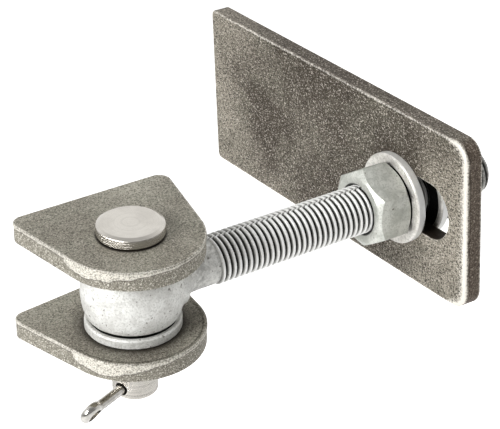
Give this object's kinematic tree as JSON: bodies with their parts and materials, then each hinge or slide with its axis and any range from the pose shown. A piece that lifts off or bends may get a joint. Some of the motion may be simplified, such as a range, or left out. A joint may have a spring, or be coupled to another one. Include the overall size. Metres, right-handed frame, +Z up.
{
  "type": "adjustable gate hinge",
  "caption": "Weld-on adjustable gate hinge: slotted steel plate, threaded eye bolt clamped by nuts and washers, and plate lugs on a headed pin kept by a split pin.",
  "frame": {"origin": "middle of the plain weld area on the plate's back face", "axes": "+Y straight out of the plate's back face, so that the eye lies towards -Y; +Z up along the plate's short side; +X along the plate towards its slotted end"},
  "size_m": [0.182, 0.2033, 0.0857],
  "materials": {
    "raw_steel": "blasted raw mild steel plate, fine bright grain, worn bright on its cut edges",
    "galvanised_steel": "hot-dip galvanised, pale grey and matt",
    "stainless_steel": "turned stainless steel, satin with fine turning marks"
  },
  "bodies": {
    "plate": {"mounting_plate": "raw_steel"},
    "clamp": {"front_washer": "galvanised_steel", "rear_washer": "galvanised_steel"},
    "eye_bolt": {"eye_bolt": "galvanised_steel", "upper_thrust_washer": "galvanised_steel"},
    "front_nut": {"front_nut": "galvanised_steel"},
    "rear_nut": {"rear_nut": "galvanised_steel"},
    "upper_lug": {"upper_lug": "raw_steel"},
    "lower_lug": {"lower_lug": "raw_steel", "lower_thrust_washer": "galvanised_steel"},
    "pin": {"hinge_pin": "stainless_steel", "split_pin": "stainless_steel"}
  },
  "joints": [
    {"name": "slot_slide", "type": "slide", "parent": "plate", "child": "clamp", "axis": [1, 0, 0], "range_m": [-0.009, 0.021]},
    {"name": "front_nut_turn", "type": "hinge", "parent": "clamp", "child": "front_nut", "pos_m": [0.0795, -0.1335, -0.0017], "axis": [0, 1, 0], "range_deg": [-7921, 1441]},
    {"name": "rear_nut_turn", "type": "hinge", "parent": "clamp", "child": "rear_nut", "pos_m": [0.0795, -0.1335, -0.0017], "axis": [0, 1, 0], "range_deg": [-7921, 1441]},
    {"name": "reach", "type": "slide", "parent": "clamp", "child": "eye_bolt", "axis": [0, 1, 0], "range_m": [-0.01, 0.055]},
    {"name": "upper_lug_swing", "type": "hinge", "parent": "eye_bolt", "child": "upper_lug", "pos_m": [0.0795, -0.1335, -0.0017], "axis": [0.0698, 0, 0.9976], "continuous": true},
    {"name": "lower_lug_swing", "type": "hinge", "parent": "eye_bolt", "child": "lower_lug", "pos_m": [0.0795, -0.1335, -0.0017], "axis": [0.0698, 0, 0.9976], "continuous": true},
    {"name": "pin_spin", "type": "hinge", "parent": "eye_bolt", "child": "pin", "pos_m": [0.0795, -0.1335, -0.0017], "axis": [0.0698, 0, 0.9976], "continuous": true}
  ],
  "couplings": [
    {"joint": "front_nut_turn", "follows": "reach", "rad_per_m": -2513.3},
    {"joint": "rear_nut_turn", "follows": "reach", "rad_per_m": -2513.3}
  ]
}
